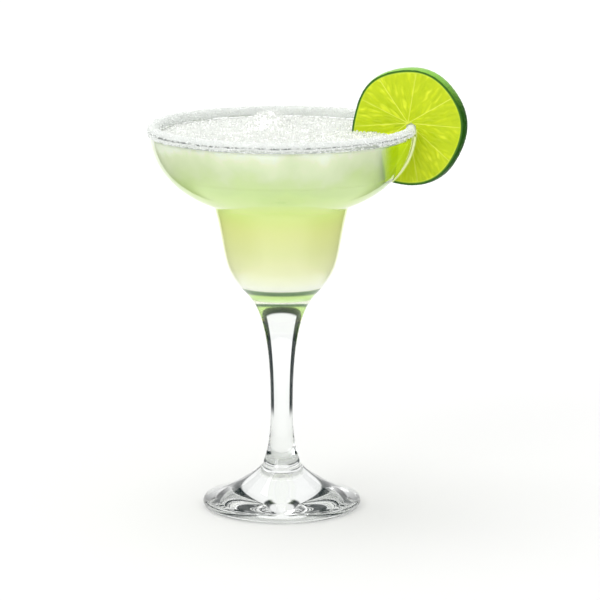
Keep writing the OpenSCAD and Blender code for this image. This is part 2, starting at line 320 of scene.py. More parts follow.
bowl_way, neck_way = polar(BOWL_SLOPE), polar(NECK_SLOPE)
cup_way = Vector((math.sin(CUP_LEAN), math.cos(CUP_LEAN)))
bowl_curve = [rim, rim - Vector((0, BOWL_FULL * (LIP_Z - WAIST_Z))),
              waist + BOWL_FULL * (RIM_R - WAIST_R) * bowl_way, waist]
cup_curve = [waist, waist - 0.57 * CUP_DEPTH * cup_way, neck + 0.42 * CUP_DEPTH * neck_way, neck]
upper_stem = [neck, neck - 0.83 * NECK_R * neck_way,
              Vector((STEM_R, SLIM_Z + 0.43 * (NECK_Z - SLIM_Z))), slim]
lower_stem = [slim, Vector((STEM_R, SLIM_Z - 0.5 * SLIM_H)),
              Vector((COLLAR_R - 0.55 * (COLLAR_R - STEM_R), COLLAR_H + 0.2 * SLIM_H)), collar]
foot_top = [collar,
            Vector((COLLAR_R + 0.135 * (FOOT_R - COLLAR_R), COLLAR_H - 0.37 * (COLLAR_H - FOOT_EDGE))),
            Vector((FOOT_R - 0.26 * (FOOT_R - COLLAR_R), FOOT_EDGE + 0.09 * (COLLAR_H - FOOT_EDGE))),
            edge_point(EDGE_TOP)]

STEPS = 36
outer_bowl = walk(bowl_curve, STEPS)
outer_cup = walk(cup_curve, STEPS)
outer_stem = walk(upper_stem, STEPS, 1) + walk(lower_stem, 24, 1)
outer_foot = walk(foot_top, 24)
foot_round = [edge_point(EDGE_TOP - (EDGE_TOP + math.pi / 2) * i / 12) for i in range(1, 13)]
ring_in = FOOT_R - EDGE_REACH - RING_W
hollow = [Vector((ring_in * math.cos(a), HOLLOW_H * math.sin(a) ** 2))
          for a in [math.pi / 2 * i / 24 for i in range(25)]]

# %% Inside of the glass, from the lip to the cup's floor
def inwards(way, wall):
    return wall * Vector((-way.y, way.x))


def crossed(a, b):
    return a.x * b.y - a.y * b.x


wall_shift = inwards(bowl_way, BOWL_WALL) - inwards(cup_way, CUP_WALL)
waist_corner = waist + Vector((0, WAIST_SWELL)) + inwards(cup_way, CUP_WALL)
waist_corner += crossed(bowl_way, wall_shift) / crossed(bowl_way, cup_way) * cup_way
bowl_end, cup_start = waist_corner + WAIST_ROUND * bowl_way, waist_corner - WAIST_ROUND * cup_way
waist_curve = [bowl_end, bowl_end + 0.6 * (waist_corner - bowl_end),
               cup_start + 0.6 * (waist_corner - cup_start), cup_start]
inner_bowl = [p for p in walk_inside(bowl_curve, STEPS, BOWL_WALL) if p.x > bowl_end.x + 0.8]
inner_cup = [p for p in walk_inside(cup_curve, STEPS, CUP_WALL)
             if p.y < cup_start.y - 0.8 and p.y > FLOOR_Z + FLOOR_ROUND]
cup_end = inner_cup[-1]
floor_corner = cup_end - (cup_end.y - FLOOR_Z) * Vector((1 / math.tan(NECK_SLOPE + math.radians(4)), 1))
floor_curve = [cup_end, cup_end + 0.62 * (floor_corner - cup_end),
               Vector((0.72 * floor_corner.x, FLOOR_Z)), Vector((0, FLOOR_Z))]
inner_wall = inner_bowl + walk(waist_curve, 12) + inner_cup + walk(floor_curve, 20, 1)
lip = [Vector((RIM_R - LIP_R, LIP_Z)) + LIP_R * polar(math.pi * i / 12) for i in range(1, 12)]


def radius_at(wall, z):
    """Radius of a wall, given as points from the top down, at height z."""
    for a, b in zip(wall, wall[1:]):
        if b.y <= z <= a.y:
            return a.x + (b.x - a.x) * (z - a.y) / (b.y - a.y) if a.y != b.y else a.x
    return wall[0].x if z > wall[0].y else wall[-1].x


glass_outline = (outer_bowl[:-1] + rounded(outer_bowl[-2], waist, outer_cup[1], 0.35) + outer_cup[1:]
                 + outer_stem[:-1] + rounded(outer_stem[-2], collar, outer_foot[1], 0.35) + outer_foot[1:]
                 + foot_round + hollow)
glass_outline = list(reversed(glass_outline)) + lip + inner_wall
print("outline points:", len(glass_outline))

# %% [markdown]
# ## Turning an outline
# Geometry Nodes turn the outline round the axis: a grid gets one column of points for each step
# round and one row for each point of the outline, and every point is moved to its radius and
# height. The seam and the two points on the axis are then merged, so that the shape is closed.
# The same tree makes the glass, the drink and the tool that cuts the slit in the lime.

# %% Lathe tree
def tree_input(tree, name, kind, value=None):
    socket = tree.interface.new_socket(name=name, in_out="INPUT", socket_type=kind)
    if value is not None:
        socket.default_value = value
    return socket


lathe = bpy.data.node_groups.new("lathe", "GeometryNodeTree")
tree_input(lathe, "Outline", "NodeSocketGeometry")
tree_input(lathe, "Steps round", "NodeSocketInt", 192)
tree_input(lathe, "Sharp from", "NodeSocketFloat", math.radians(38))
tree_input(lathe, "Finish", "NodeSocketMaterial")
lathe.interface.new_socket(name="Turned", in_out="OUTPUT", socket_type="NodeSocketGeometry")
given = lathe.nodes.new("NodeGroupInput")
count = lathe.nodes.new("GeometryNodeAttributeDomainSize")
lathe.links.new(given.outputs["Outline"], count.inputs[0])
grid = lathe.nodes.new("GeometryNodeMeshGrid")
lathe.links.new(wire(lathe, "ADD", given.outputs["Steps round"], 1), grid.inputs["Vertices X"])
lathe.links.new(count.outputs["Point Count"], grid.inputs["Vertices Y"])
index = lathe.nodes.new("GeometryNodeInputIndex").outputs[0]
rows = count.outputs["Point Count"]
column = wire(lathe, "FLOOR", wire(lathe, "DIVIDE", wire(lathe, "ADD", index, 0.5), rows))
row = wire(lathe, "SUBTRACT", index, times(lathe, column, rows))
here = lathe.nodes.new("GeometryNodeInputPosition").outputs[0]
sample = lathe.nodes.new("GeometryNodeSampleIndex")
sample.data_type = "FLOAT_VECTOR"
lathe.links.new(given.outputs["Outline"], sample.inputs["Geometry"])
lathe.links.new(here, sample.inputs["Value"])
lathe.links.new(row, sample.inputs["Index"])
radius, _, level = axes(lathe, sample.outputs[0])
turn = times(lathe, wire(lathe, "DIVIDE", column, given.outputs["Steps round"]), 2 * math.pi)
whole = lathe.nodes.new("ShaderNodeCombineXYZ")
lathe.links.new(times(lathe, radius, wire(lathe, "COSINE", turn)), whole.inputs["X"])
lathe.links.new(times(lathe, radius, wire(lathe, "SINE", turn)), whole.inputs["Y"])
lathe.links.new(level, whole.inputs["Z"])
move = lathe.nodes.new("GeometryNodeSetPosition")
lathe.links.new(grid.outputs["Mesh"], move.inputs["Geometry"])
lathe.links.new(whole.outputs[0], move.inputs["Position"])
merge = lathe.nodes.new("GeometryNodeMergeByDistance")
merge.inputs["Distance"].default_value = 1e-6
lathe.links.new(move.outputs[0], merge.inputs["Geometry"])
bend = lathe.nodes.new("GeometryNodeInputMeshEdgeAngle")
mark = lathe.nodes.new("GeometryNodeStoreNamedAttribute")
mark.data_type, mark.domain = "BOOLEAN", "EDGE"
mark.inputs["Name"].default_value = "sharp_edge"
lathe.links.new(merge.outputs[0], mark.inputs["Geometry"])
sharp = wire(lathe, "GREATER_THAN", bend.outputs["Unsigned Angle"], given.outputs["Sharp from"])
lathe.links.new(sharp, mark.inputs["Value"])
real = lathe.nodes.new("GeometryNodeRealizeInstances")
finish_node = lathe.nodes.new("GeometryNodeSetMaterial")
lathe.links.new(mark.outputs[0], real.inputs[0])
lathe.links.new(real.outputs[0], finish_node.inputs["Geometry"])
lathe.links.new(given.outputs["Finish"], finish_node.inputs["Material"])
done = lathe.nodes.new("NodeGroupOutput")
lathe.links.new(finish_node.outputs[0], done.inputs[0])


# %% From a tree to a plain mesh
def set_input(modifier, name, value):
    for item in modifier.node_group.interface.items_tree:
        if item.item_type == "SOCKET" and item.in_out == "INPUT" and item.name == name:
            modifier[item.identifier] = value
            return
    raise KeyError(name)


def bake_tree(carrier, tree, name, **inputs):
    """The mesh that a tree makes from a carrier object, as a new plain object."""
    modifier = carrier.modifiers.new("tree", "NODES")
    modifier.node_group = tree
    for key, value in inputs.items():
        set_input(modifier, key.replace("_", " "), value)
    graph = bpy.context.evaluated_depsgraph_get()
    mesh = bpy.data.meshes.new_from_object(carrier.evaluated_get(graph))
    mesh.name = name
    carrier.modifiers.remove(modifier)
    bpy.data.objects.remove(carrier)
    piece = bpy.data.objects.new(name, mesh)
    scene.collection.objects.link(piece)
    return piece


def outward(mesh):
    """Turns a closed mesh's faces outwards; gives its volume in cm3 and its number of open edges."""
    bm = bmesh.new()
    bm.from_mesh(mesh)
    bmesh.ops.recalc_face_normals(bm, faces=bm.faces)
    if bm.calc_volume(signed=True) < 0:
        bmesh.ops.reverse_faces(bm, faces=bm.faces)
    volume = bm.calc_volume() * 1e6
    open_edges = sum(1 for e in bm.edges if len(e.link_faces) != 2)
    bm.to_mesh(mesh)
    bm.free()
    return volume, open_edges


def turned(name, outline, material, steps=192):
    """Closed shape of revolution from an outline in millimetres."""
    mesh = bpy.data.meshes.new(name + "_outline")
    points = [(p.x * MM, 0, p.y * MM) for p in outline]
    mesh.from_pydata(points, [(i, i + 1) for i in range(len(points) - 1)], [])
    carrier = bpy.data.objects.new(name + "_outline", mesh)
    scene.collection.objects.link(carrier)
    piece = bake_tree(carrier, lathe, name, Steps_round=steps, Finish=material)
    piece.data.polygons.foreach_set("use_smooth", [True] * len(piece.data.polygons))
    volume, open_edges = outward(piece.data)
    print(f"{name}: {len(piece.data.polygons)} faces, {volume:.1f} cm3, open edges {open_edges}")
    return piece


# %% [markdown]
# ## Clear glass
# Pressed and drawn glass is clear and smooth. The finish bends light fully, and each passage through
# its skin takes a little more red than green, as the iron in common glass does.

# %% Glass finish and piece
glass_finish, shader = new_finish("clear_glass", Base_Color=(0.968, 0.986, 0.975), Roughness=0.0,
                                  IOR=1.5, Transmission_Weight=1.0)
glass = turned("glass_body", glass_outline, glass_finish)
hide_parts("glass")
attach(glass, "root")

# %% [markdown]
# ## Drink
# The drink touches the glass everywhere, so its skin is laid a quarter of a millimetre inside the
# wall: no film of air is left to mirror the light. It is cloudy with lime juice. Light that enters
# it comes out again after many turns, which a faint glow of its own colour stands in for. The
# colour follows the height: green under the floor of the cup with a painted shadow line at its
# corner, nearly white just above, yellow green in the cup, and paler again, in soft clouds, where
# ice melts into the bowl. In front of the lime wheel the drink has run clear, and the wheel shows
# through it.

# %% Drink finish
def ramp(tree, value, stops):
    """Colour that runs through stops, each a share with three linear values."""
    node = tree.nodes.new("ShaderNodeValToRGB")
    elements = node.color_ramp.elements
    while len(elements) > 1:
        elements.remove(elements[0])
    elements[0].position = stops[0][0]
    elements[0].color = (*stops[0][1], 1)
    for position, colour in stops[1:]:
        elements.new(position).color = (*colour, 1)
    tree.links.new(value, node.inputs[0])
    return node.outputs[0]


def srgb(r, g, b):
    """Linear colour from screen values of 0 to 255."""
    return tuple(c / 255 / 12.92 if c <= 10 else ((c / 255 + 0.055) / 1.055) ** 2.4 for c in (r, g, b))


FLOOR_GREEN = srgb(204, 238, 140)
# The two dark stops near the floor's corner are a painted shadow line, where the drink meets the cup's floor.
FLOOR_STOPS_WITH_SHADOW_LINE = [(0.000, FLOOR_GREEN), (0.018, FLOOR_GREEN), (0.028, srgb(96, 126, 84)),
               (0.045, srgb(110, 140, 96)), (0.056, srgb(249, 250, 238))]
CUP_STOPS = [(0.095, srgb(245, 247, 224)), (0.170, srgb(233, 235, 193)), (0.300, srgb(225, 229, 171)),
             (0.430, srgb(225, 229, 159)), (0.500, srgb(222, 231, 152)), (0.570, srgb(222, 237, 158))]
BOWL_STOPS = [(0.660, srgb(216, 234, 162)), (0.730, srgb(207, 226, 160)), (0.800, srgb(207, 223, 167)),
              (0.870, srgb(215, 226, 187)), (0.940, srgb(224, 232, 198)), (1.000, srgb(243, 249, 229))]
CLOUD_SCALE, CLOUD_DRIFT, CLOUD_FROM, CLOUD_TO = 75.0, 0.3, 0.6, 0.85
DRINK_GLOW, LIQUID_IOR = 0.33, 1.34
CLEAR_FROM, CLEAR_TO, CLEAR_FRONT, CLEAR_BACK = 37.5, 46.0, -4.0, 8.0


def on_piece(tree):
    return tree.nodes.new("ShaderNodeTexCoord").outputs["Object"]


def liquid_colour(tree):
    """Colour of the liquid by its height from the cup's floor to the ice, with clouds high up."""
    place = on_piece(tree)
    share = tree.nodes.new("ShaderNodeMapRange")
    share.inputs["From Min"].default_value = FLOOR_Z * MM
    share.inputs["From Max"].default_value = ICE_Z * MM
    tree.links.new(axes(tree, place)[2], share.inputs["Value"])
    clouds = tree.nodes.new("ShaderNodeTexNoise")
    clouds.inputs["Scale"].default_value = CLOUD_SCALE
    clouds.inputs["Detail"].default_value = 4.0
    tree.links.new(place, clouds.inputs["Vector"])
    drift = times(tree, wire(tree, "SUBTRACT", clouds.outputs["Fac"], 0.5), CLOUD_DRIFT)
    drift = times(tree, drift, step_up(tree, share.outputs["Result"], CLOUD_FROM, CLOUD_TO))
    return ramp(tree, wire(tree, "ADD", share.outputs["Result"], drift), FLOOR_STOPS_WITH_SHADOW_LINE + CUP_STOPS + BOWL_STOPS)


def clear_near_lime(tree, shader, solid=None):
    """Clears the liquid in front of the lime wheel and lets it glow elsewhere, but not where solid."""
    x, y, _ = axes(tree, on_piece(tree))
    clear = step_up(tree, x, CLEAR_FROM * MM, CLEAR_TO * MM)
    clear = times(tree, clear, rest_of(tree, step_up(tree, y, CLEAR_FRONT * MM, CLEAR_BACK * MM)))
    if solid is not None:
        clear = times(tree, clear, rest_of(tree, solid))
    glow = times(tree, rest_of(tree, clear), DRINK_GLOW)
    if solid is not None:
        glow = times(tree, glow, rest_of(tree, solid))
    tree.links.new(clear, shader.inputs["Transmission Weight"])
    tree.links.new(glow, shader.inputs["Emission Strength"])


drink_finish, shader = new_finish("cloudy_drink", Roughness=0.08, IOR=LIQUID_IOR)
tree = drink_finish.node_tree
colour = liquid_colour(tree)
tree.links.new(colour, shader.inputs["Base Color"])
tree.links.new(colour, shader.inputs["Emission Color"])
clear_near_lime(tree, shader)
print("drink glows at", DRINK_GLOW, "and clears from x =", CLEAR_FROM, "mm")

# %% Drink piece
SKIN = 0.25


def skin_of(wall, skin):
    """An inner wall moved outwards by the thickness of a skin."""
    moved = []
    for i, p in enumerate(wall):
        way = (wall[min(i + 1, len(wall) - 1)] - wall[max(i - 1, 0)]).normalized()
        q = p + skin * Vector((-way.y, way.x))
        moved.append(Vector((max(q.x, 0), q.y)))
    moved[-1] = Vector((0, wall[-1].y - skin))
    return moved


drink_wall = skin_of(inner_wall, SKIN)
below = [p for p in drink_wall if p.y < DRINK_Z - 0.05]
drink_outline = [Vector((0, DRINK_Z)), Vector((radius_at(drink_wall, DRINK_Z), DRINK_Z))] + below
drink = turned("margarita", drink_outline, drink_finish)
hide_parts("drink")
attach(drink, "root")

# %% [markdown]
# ## Crushed ice
# Crushed ice soaked in drink looks like wet snow. Its body is a closed form whose top follows the
# heap, with a fine relief for the smallest grains. On it lie loose chips, each a rough little
# polyhedron, scattered and turned at random.

# %% Heap
MOUND_H, MOUND_W, MOUND_X, MOUND_Y, SWELL, RIPPLE = 6.9, 9.2, -6.5, 13.0, 1.2, 0.3
ice_r = radius_at(drink_wall, ICE_Z)


def sind(a):
    return math.sin(math.radians(a))


def cosd(a):
    return math.cos(math.radians(a))


def ice_rise(x, y):
    """Height of the ice above its level at the wall, in millimetres."""
    share = min(math.hypot(x, y) / ice_r, 1)
    fade = max(0, 1 - share**4)
    away = math.hypot((x - MOUND_X) * (1.15 if x < MOUND_X else 0.9), y - MOUND_Y)
    ripple = (sind(29 * x + 11 * y + 60 * sind(13 * y)) + cosd(24 * y - 17 * x + 50 * sind(15 * x))
              + 0.7 * sind(38 * x - 33 * y))
    heap = MOUND_H * math.exp(-((away / MOUND_W) ** 3)) + SWELL * (1 - share * share)
    return fade * (heap + RIPPLE * ripple)


def grain(x, y):
    """Fine relief of the slush, in millimetres."""
    p = Vector((x, y, 3.1))
    return 0.30 * noise.noise(p * 0.55) + 0.24 * noise.noise(p * 1.3) + 0.12 * noise.noise(p * 2.9)


AROUND, RINGS, WALL_RINGS, TOP_SINK, GRAIN_FADE = 300, 92, 12, 0.25, 1.5
bm = bmesh.new()
rings = []
for z in [DRINK_Z + (ICE_Z - DRINK_Z) * k / WALL_RINGS for k in range(WALL_RINGS + 1)]:
    r = radius_at(drink_wall, z)
    rings.append([bm.verts.new((r * math.cos(a) * MM, r * math.sin(a) * MM, z * MM))
                  for a in [2 * math.pi * i / AROUND for i in range(AROUND)]])
for k in range(1, RINGS):
    r = ice_r * (1 - k / RINGS)
    ring = []
    for i in range(AROUND):
        a = 2 * math.pi * i / AROUND
        x, y = r * math.cos(a), r * math.sin(a)
        edge = min(1, (ice_r - r) / GRAIN_FADE)
        z = ICE_Z - TOP_SINK + ice_rise(x, y) + edge * grain(x, y)
        ring.append(bm.verts.new((x * MM, y * MM, z * MM)))
    rings.append(ring)
low = bm.verts.new((0, 0, DRINK_Z * MM))
high = bm.verts.new((0, 0, (ICE_Z - TOP_SINK + ice_rise(0, 0)) * MM))
for a, b in zip(rings, rings[1:]):
    for i in range(AROUND):
        bm.faces.new((a[i], a[(i + 1) % AROUND], b[(i + 1) % AROUND], b[i]))
for i in range(AROUND):
    bm.faces.new((low, rings[0][(i + 1) % AROUND], rings[0][i]))
    bm.faces.new((high, rings[-1][i], rings[-1][(i + 1) % AROUND]))
slush_mesh = bpy.data.meshes.new("slush")
bm.to_mesh(slush_mesh)
bm.free()
for polygon in slush_mesh.polygons:
    polygon.use_smooth = polygon.normal.z > -0.99
slush = bpy.data.objects.new("slush", slush_mesh)
scene.collection.objects.link(slush)
print("slush faces", len(slush_mesh.polygons), outward(slush_mesh))

# %% Ice finishes
UP_FROM, UP_TO, WET_WHITE = 0.15, 0.5, (0.93, 0.94, 0.915)

slush_finish, shader = new_finish("wet_slush", Roughness=0.12, IOR=LIQUID_IOR)
tree = slush_finish.node_tree
geometry = tree.nodes.new("ShaderNodeNewGeometry")
top = tree.nodes.new("ShaderNodeMapRange")
top.inputs["From Min"].default_value = UP_FROM
top.inputs["From Max"].default_value = UP_TO
tree.links.new(axes(tree, geometry.outputs["True Normal"])[2], top.inputs["Value"])
side = liquid_colour(tree)
clear_near_lime(tree, shader, top.outputs["Result"])
tree.links.new(mixed(tree, top.outputs["Result"], side, WET_WHITE), shader.inputs["Base Color"])
tree.links.new(side, shader.inputs["Emission Color"])
slush_mesh.materials.append(slush_finish)

chip_finish, shader = new_finish("ice_chips", Base_Color=(0.94, 0.955, 0.93), Roughness=0.25,
                                 IOR=1.31, Transmission_Weight=0.45)

# %% [markdown]
# ## Scattered grains
# One tree scatters both the ice chips and the salt: points at a smallest distance from one another
# on the faces of a carrier, thinned by its "cover" attribute, each with a small rough solid of
# random size and turn. The carrier itself isn't kept.

# %% Scatter tree
scatter = bpy.data.node_groups.new("scatter", "GeometryNodeTree")
tree_input(scatter, "Carrier", "NodeSocketGeometry")
tree_input(scatter, "Spacing", "NodeSocketFloat", 0.001)
tree_input(scatter, "Smallest", "NodeSocketFloat", 0.0005)
tree_input(scatter, "Largest", "NodeSocketFloat", 0.001)
tree_input(scatter, "Cubes", "NodeSocketBool", False)
tree_input(scatter, "Seed", "NodeSocketInt", 1)
tree_input(scatter, "Finish", "NodeSocketMaterial")
scatter.interface.new_socket(name="Grains", in_out="OUTPUT", socket_type="NodeSocketGeometry")
given = scatter.nodes.new("NodeGroupInput")
cover = scatter.nodes.new("GeometryNodeInputNamedAttribute")
cover.data_type = "FLOAT"
cover.inputs["Name"].default_value = "cover"
spread = scatter.nodes.new("GeometryNodeDistributePointsOnFaces")
spread.distribute_method = "POISSON"
spread.inputs["Density Max"].default_value = 4e6
scatter.links.new(given.outputs["Carrier"], spread.inputs["Mesh"])
scatter.links.new(given.outputs["Spacing"], spread.inputs["Distance Min"])
scatter.links.new(cover.outputs["Attribute"], spread.inputs["Density Factor"])
scatter.links.new(given.outputs["Seed"], spread.inputs["Seed"])
chip = scatter.nodes.new("GeometryNodeMeshIcoSphere")
chip.inputs["Radius"].default_value = 0.5
chip.inputs["Subdivisions"].default_value = 1
cube = scatter.nodes.new("GeometryNodeMeshCube")
cube.inputs["Size"].default_value = (0.8, 0.8, 0.8)
choose = scatter.nodes.new("GeometryNodeSwitch")
choose.input_type = "GEOMETRY"
scatter.links.new(given.outputs["Cubes"], choose.inputs["Switch"])
scatter.links.new(chip.outputs["Mesh"], choose.inputs["False"])
scatter.links.new(cube.outputs["Mesh"], choose.inputs["True"])


def random_vector(low, high, offset):
    node = scatter.nodes.new("FunctionNodeRandomValue")
    node.data_type = "FLOAT_VECTOR"
    node.inputs["Min"].default_value = low
    node.inputs["Max"].default_value = high
    scatter.links.new(wire(scatter, "ADD", given.outputs["Seed"], offset), node.inputs["Seed"])
    return node.outputs["Value"]


size = scatter.nodes.new("FunctionNodeRandomValue")
size.data_type = "FLOAT"
scatter.links.new(given.outputs["Smallest"], size.inputs["Min"])
scatter.links.new(given.outputs["Largest"], size.inputs["Max"])
scatter.links.new(wire(scatter, "ADD", given.outputs["Seed"], 7), size.inputs["Seed"])
stretch = scatter.nodes.new("ShaderNodeVectorMath")
stretch.operation = "SCALE"
scatter.links.new(random_vector((0.7, 0.7, 0.6), (1.15, 1.15, 1.1), 11), stretch.inputs[0])
scatter.links.new(size.outputs["Value"], stretch.inputs["Scale"])
place_all = scatter.nodes.new("GeometryNodeInstanceOnPoints")
scatter.links.new(spread.outputs["Points"], place_all.inputs["Points"])
scatter.links.new(choose.outputs[0], place_all.inputs["Instance"])
scatter.links.new(random_vector((0, 0, 0), (6.283, 6.283, 6.283), 3), place_all.inputs["Rotation"])
scatter.links.new(stretch.outputs[0], place_all.inputs["Scale"])
real = scatter.nodes.new("GeometryNodeRealizeInstances")
scatter.links.new(place_all.outputs[0], real.inputs[0])
wobble = scatter.nodes.new("GeometryNodeSetPosition")
rough = scatter.nodes.new("ShaderNodeTexNoise")
rough.inputs["Scale"].default_value = 900.0
centred = scatter.nodes.new("ShaderNodeVectorMath")
centred.operation = "SUBTRACT"
centred.inputs[1].default_value = (0.5, 0.5, 0.5)
scatter.links.new(rough.outputs["Color"], centred.inputs[0])
shake = scatter.nodes.new("ShaderNodeVectorMath")
shake.operation = "SCALE"
scatter.links.new(centred.outputs[0], shake.inputs[0])
scatter.links.new(wire(scatter, "MULTIPLY", given.outputs["Smallest"], 0.9), shake.inputs["Scale"])
scatter.links.new(real.outputs[0], wobble.inputs["Geometry"])
scatter.links.new(shake.outputs[0], wobble.inputs["Offset"])
finish_node = scatter.nodes.new("GeometryNodeSetMaterial")
scatter.links.new(wobble.outputs[0], finish_node.inputs["Geometry"])
scatter.links.new(given.outputs["Finish"], finish_node.inputs["Material"])
done = scatter.nodes.new("NodeGroupOutput")
scatter.links.new(finish_node.outputs[0], done.inputs[0])


def carrier_of(name, points, faces, cover_values):
    mesh = bpy.data.meshes.new(name)
    mesh.from_pydata(points, [], faces)
    values = mesh.attributes.new("cover", "FLOAT", "POINT")
    values.data.foreach_set("value", cover_values)
    carrier = bpy.data.objects.new(name, mesh)
    scene.collection.objects.link(carrier)
    return carrier


# %% Ice chips
CHIP_STEP, CHIP_EDGE, CHIP_SINK = 1.2, 0.9, 0.1
points, cover_values = [], []
cells = int(ice_r / CHIP_STEP)
where = {}
for i in range(-cells, cells + 1):
    for j in range(-cells, cells + 1):
        x, y = i * CHIP_STEP, j * CHIP_STEP
        if math.hypot(x, y) < ice_r - CHIP_EDGE:
            where[i, j] = len(points)
            points.append((x * MM, y * MM, (ICE_Z - CHIP_SINK + ice_rise(x, y)) * MM))
            cover_values.append(1.0)
faces = [(where[i, j], where[i + 1, j], where[i + 1, j + 1], where[i, j + 1])
         for i, j in where if (i + 1, j) in where and (i + 1, j + 1) in where and (i, j + 1) in where]
chips = bake_tree(carrier_of("chip_carrier", points, faces, cover_values), scatter, "ice_chips",
                  Spacing=1.25 * MM, Smallest=0.7 * MM, Largest=2.0 * MM, Seed=5, Finish=chip_finish)
print("ice chips:", len(chips.data.polygons), "faces")
for piece in (slush, chips):
    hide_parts("crushed_ice")
    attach(piece, "root")

# %% [markdown]
# ## Salt
# The lip was wetted and turned in coarse salt. A thin crust clings to the outside, the top and the
# inside of the lip, and crystals of about half a millimetre stand on it, with a few strays below.
# Low on the outside runs a groove where the glass is nearly bare, in broken dashes, and the crust is
# painted near black there, as painted shade in the groove where the glass shows through.

# %% Crust and its crystals
SALT_SKIRT, SALT_SLANT, SALT_SIDE, SALT_T, SALT_WANDER = 3.1, 0.22, 143, 1.15, 0.24
SALT_INNER = ICE_DROP - 0.2
CRUST_T, CRUST_ROOT, CRYSTAL_T, STRAY_DROP = 0.36, -0.06, 0.5, 0.6
BARE_STEPS, GROOVE = (4, 5), 0.35
inner_rim = [Vector((RIM_R - BOWL_WALL, LIP_Z))] + inner_wall


def wave(angle, shift):
    return (sind(5 * angle + shift) + sind(8 * angle + 2.3 * shift) + sind(13 * angle - shift)
            + sind(21 * angle + 1.7 * shift)) / 4


def salt_path(angle, thick, extra):
    """Points over the lip at an angle, from the lowest salt outside to the lowest inside, in mm."""
    t = thick * SALT_T * (1 + SALT_WANDER * wave(angle, 40))
    drop = SALT_SKIRT * (1 + SALT_WANDER * wave(angle, 150) + SALT_SLANT * cosd(angle - SALT_SIDE)) + extra
    inner = SALT_INNER * (1 - SALT_WANDER * (0.5 + 0.5 * wave(angle, 260)))
    path = []
    for k in range(7):
        z = GLASS_H - drop + (drop - LIP_R) * k / 6
        taper = min(1, 0.25 + k / 3)
        path.append(Vector((radius_at(outer_bowl, z) + t * taper, z)))
    for k in range(1, 8):
        a = math.pi * k / 8
        path.append(Vector((RIM_R - LIP_R, LIP_Z)) + (LIP_R + 0.9 * t) * polar(a))
    for k in range(6):
        z = LIP_Z - (inner - LIP_R) * k / 5
        taper = min(1, 0.25 + (5 - k) / 3)
        path.append(Vector((radius_at(inner_rim, z) - t * taper, z)))
    return path


def bareness(angle, k):
    """Share of bare glass on the rows of the groove, where the crust gets painted shade, 0 on all others."""
    if k not in BARE_STEPS:
        return 0
    return min(1, max(0, 0.55 + 1.6 * noise.noise(Vector((0.35 * angle, 0.6 * k, 8)))))


def attribute(tree, name):
    node = tree.nodes.new("ShaderNodeAttribute")
    node.attribute_name = name
    return node.outputs["Fac"]


SALT_WHITE, GROOVE_PAINTED_SHADE = (0.95, 0.965, 0.95), (0.1, 0.13, 0.11)
# The salt has a faint painted glow of its own, which brightens it.
salt_finish, shader = new_finish("salt", Emission_Color=(0.95, 1.0, 0.96), Emission_Strength=0.045,
                                 Roughness=0.2, IOR=1.54, Transmission_Weight=0.35)
tree = salt_finish.node_tree
# The crust's colour goes to a near-black painted shade on its bare share in the groove.
tree.links.new(mixed(tree, attribute(tree, "bare"), SALT_WHITE, GROOVE_PAINTED_SHADE), shader.inputs["Base Color"])

SALT_STEPS, SALT_BUMP = 360, 0.16
bm = bmesh.new()
bare = bm.verts.layers.float.new("bare")
sections = []
for i in range(SALT_STEPS):
    angle = 360 * i / SALT_STEPS
    c, s = cosd(angle), sind(angle)
    outside = salt_path(angle, CRUST_T, 0)
    inside = salt_path(angle, CRUST_ROOT, 0)
    loop = outside + list(reversed(inside))
    ring = []
    for k, p in enumerate(loop):
        bump = 0
        if 0 < k < len(outside) - 1:
            bump = SALT_BUMP * noise.noise(Vector((p.x * c, p.x * s, p.y)) * 1.7)
        if k in BARE_STEPS:
            bump -= GROOVE
        v = bm.verts.new(((p.x + bump) * c * MM, (p.x + bump) * s * MM, (p.y + bump) * MM))
        v[bare] = bareness(angle, k)
        ring.append(v)
    sections.append(ring)
for i in range(SALT_STEPS):
    a, b = sections[i], sections[(i + 1) % SALT_STEPS]
    for k in range(len(a)):
        bm.faces.new((a[k], b[k], b[(k + 1) % len(a)], a[(k + 1) % len(a)]))
crust_mesh = bpy.data.meshes.new("salt_crust")
bm.to_mesh(crust_mesh)
bm.free()
for polygon in crust_mesh.polygons:
    polygon.use_smooth = True
crust_mesh.materials.append(salt_finish)
crust = bpy.data.objects.new("salt_crust", crust_mesh)
scene.collection.objects.link(crust)
print("crust", outward(crust_mesh))

COVER = {0: 0.12, 1: 0.6, **dict.fromkeys(BARE_STEPS, 0.16)}
points, cover_values = [], []
for i in range(SALT_STEPS):
    angle = 360 * i / SALT_STEPS
    path = salt_path(angle, CRYSTAL_T, STRAY_DROP)
    for k, p in enumerate(path):
        points.append((p.x * cosd(angle) * MM, p.x * sind(angle) * MM, p.y * MM))
        cover_values.append(COVER.get(k, 1.0))
n = len(path)
faces = [(i * n + k, ((i + 1) % SALT_STEPS) * n + k, ((i + 1) % SALT_STEPS) * n + k + 1, i * n + k + 1)
         for i in range(SALT_STEPS) for k in range(n - 1)]
crystals = bake_tree(carrier_of("salt_carrier", points, faces, cover_values), scatter, "salt_crystals",
                     Spacing=0.6 * MM, Smallest=0.42 * MM, Largest=0.98 * MM, Cubes=True, Seed=9,
                     Finish=salt_finish)
print("crystals:", len(crystals.data.polygons), "faces")
for piece in (crust, crystals):
    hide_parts("salt_rim")
    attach(piece, "root")

# %% [markdown]
# ## Lime wheel
# A wheel cut a little in front of the fruit's middle: thin green peel with a waxy outside, a pale
# layer under it, and ten wedges of juice sacs between thin skins that meet at the core. Both cut
# faces get this drawing as relief, and each point also keeps what it belongs to, for the colours.
# The slit is cut at the end with a turned outline of the bowl's wall and its salt.

